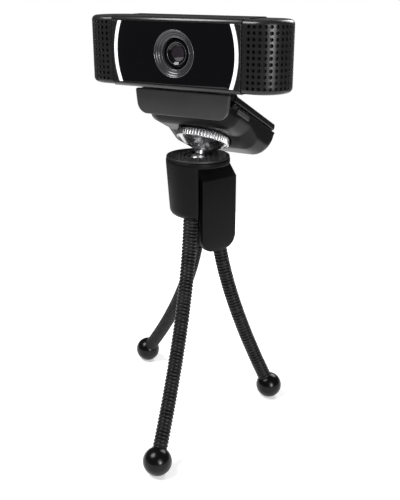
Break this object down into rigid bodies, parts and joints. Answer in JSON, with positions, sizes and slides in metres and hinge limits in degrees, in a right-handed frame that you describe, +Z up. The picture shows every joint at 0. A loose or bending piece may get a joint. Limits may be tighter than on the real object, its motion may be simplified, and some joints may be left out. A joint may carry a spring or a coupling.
{
  "type": "webcam on tripod",
  "caption": "Webcam held by its folding clip on a small tripod head with a ball joint, a knurled thumb wheel and bendable gooseneck legs.",
  "frame": {"origin": "bottom centre of the object's box, on the surface it stands on", "axes": "+Z up; the webcam looks along -Y; +X is to the right seen from the front"},
  "size_m": [0.1008, 0.1004, 0.1875],
  "materials": {
    "satin_plastic": "satin",
    "grille_plastic": "satin, pierced",
    "rubber": "smooth",
    "gooseneck": "ribbed",
    "bright_metal": "polished",
    "gloss_black": "gloss",
    "white_guide": "satin",
    "lens_glass": "coated",
    "board_green": "solder mask"
  },
  "bodies": {
    "head": {"head_body": "satin_plastic", "top_pad": "rubber", "hinge_pin_right": "bright_metal", "hinge_pin_rear": "bright_metal", "front_leg_upper": "gooseneck"},
    "pan_collar": {"ball_collar": "bright_metal"},
    "stud": {"ball_stud": "bright_metal"},
    "wheel": {"thumb_wheel": "bright_metal"},
    "clip_lower": {"clip_leg": "satin_plastic", "thread_insert": "bright_metal", "leg_pad": "rubber", "clip_hinge_pin": "bright_metal"},
    "clip_upper": {"clip_arm": "satin_plastic", "flap_pad": "rubber", "camera_hinge_pin": "bright_metal"},
    "camera": {"rear_shell": "satin_plastic", "front_frame": "satin_plastic", "front_window": "gloss_black", "light_guide_left": "white_guide", "light_guide_right": "white_guide", "grille_left": "grille_plastic", "grille_right": "grille_plastic", "lens_housing": "gloss_black", "circuit_board": "board_green", "image_sensor": "gloss_black", "microphone_left": "bright_metal", "microphone_right": "bright_metal", "cable_gland": "rubber"},
    "lens": {"lens_barrel": "gloss_black", "lens_glass": "lens_glass"},
    "right_holder": {"holder_right": "satin_plastic", "right_leg_upper": "gooseneck"},
    "rear_holder": {"holder_rear": "satin_plastic", "rear_leg_upper": "gooseneck"},
    "front_middle": {"front_leg_middle": "gooseneck"},
    "front_end": {"front_leg_lower": "gooseneck", "foot_front": "rubber"},
    "right_middle": {"right_leg_middle": "gooseneck"},
    "right_end": {"right_leg_lower": "gooseneck", "foot_right": "rubber"},
    "rear_middle": {"rear_leg_middle": "gooseneck"},
    "rear_end": {"rear_leg_lower": "gooseneck", "foot_rear": "rubber"}
  },
  "joints": [
    {"name": "collar_pan", "type": "hinge", "parent": "head", "child": "pan_collar", "pos_m": [0.00337, 0.01572, 0.1243], "axis": [0, 0, 1], "continuous": true},
    {"name": "ball_tilt", "type": "hinge", "parent": "pan_collar", "child": "stud", "pos_m": [0.00337, 0.01572, 0.1243], "axis": [1, 0, 0], "range_deg": [0, 50]},
    {"name": "wheel_spin", "type": "hinge", "parent": "stud", "child": "wheel", "pos_m": [0.00337, 0.01572, 0.1243], "axis": [0, 0.4226, 0.9063], "continuous": true},
    {"name": "clip_swivel", "type": "hinge", "parent": "stud", "child": "clip_lower", "pos_m": [0.00337, 0.01572, 0.1243], "axis": [0, 0.4226, 0.9063], "continuous": true},
    {"name": "clip_open", "type": "hinge", "parent": "clip_lower", "child": "clip_upper", "pos_m": [0.00337, 0.04823, 0.13651], "axis": [-1, 0, 0], "range_deg": [0, 100]},
    {"name": "camera_tilt", "type": "hinge", "parent": "clip_upper", "child": "camera", "pos_m": [0.00337, 0.00622, 0.156], "axis": [1, 0, 0], "range_deg": [-20, 10]},
    {"name": "lens_focus", "type": "slide", "parent": "camera", "child": "lens", "axis": [0, -1, 0], "range_m": [0, 0.0004]},
    {"name": "holder_right_swing", "type": "hinge", "parent": "head", "child": "right_holder", "pos_m": [0.01027, 0.02444, 0.1201], "axis": [-0.342, -0.9397, 0], "range_deg": [0, 30]},
    {"name": "holder_rear_swing", "type": "hinge", "parent": "head", "child": "rear_holder", "pos_m": [-0.0043, 0.01935, 0.1201], "axis": [0.9848, 0.1736, 0], "range_deg": [0, 30]},
    {"name": "front_bend_upper", "type": "hinge", "parent": "head", "child": "front_middle", "pos_m": [0.00619, 0.00031, 0.07297], "axis": [-0.9682, -0.2501, 0], "range_deg": [-10, 25]},
    {"name": "front_bend_lower", "type": "hinge", "parent": "front_middle", "child": "front_end", "pos_m": [0.0108, -0.0175, 0.0393], "axis": [-0.9682, -0.2501, 0], "range_deg": [-10, 25]},
    {"name": "right_bend_upper", "type": "hinge", "parent": "right_holder", "child": "right_middle", "pos_m": [0.01425, 0.02604, 0.06305], "axis": [0.6046, -0.7965, 0], "range_deg": [-10, 25]},
    {"name": "right_bend_lower", "type": "hinge", "parent": "right_middle", "child": "right_end", "pos_m": [0.0216, 0.03161, 0.03557], "axis": [0.6046, -0.7965, 0], "range_deg": [-10, 25]},
    {"name": "rear_bend_upper", "type": "hinge", "parent": "rear_holder", "child": "rear_middle", "pos_m": [-0.00789, 0.02464, 0.06221], "axis": [0.4187, 0.9081, 0], "range_deg": [-10, 25]},
    {"name": "rear_bend_lower", "type": "hinge", "parent": "rear_middle", "child": "rear_end", "pos_m": [-0.02312, 0.03167, 0.03467], "axis": [0.4187, 0.9081, 0], "range_deg": [-10, 25]}
  ],
  "couplings": [
    {"joint": "front_bend_lower", "follows": "front_bend_upper", "ratio": 1},
    {"joint": "right_bend_lower", "follows": "right_bend_upper", "ratio": 1},
    {"joint": "rear_bend_lower", "follows": "rear_bend_upper", "ratio": 1}
  ]
}
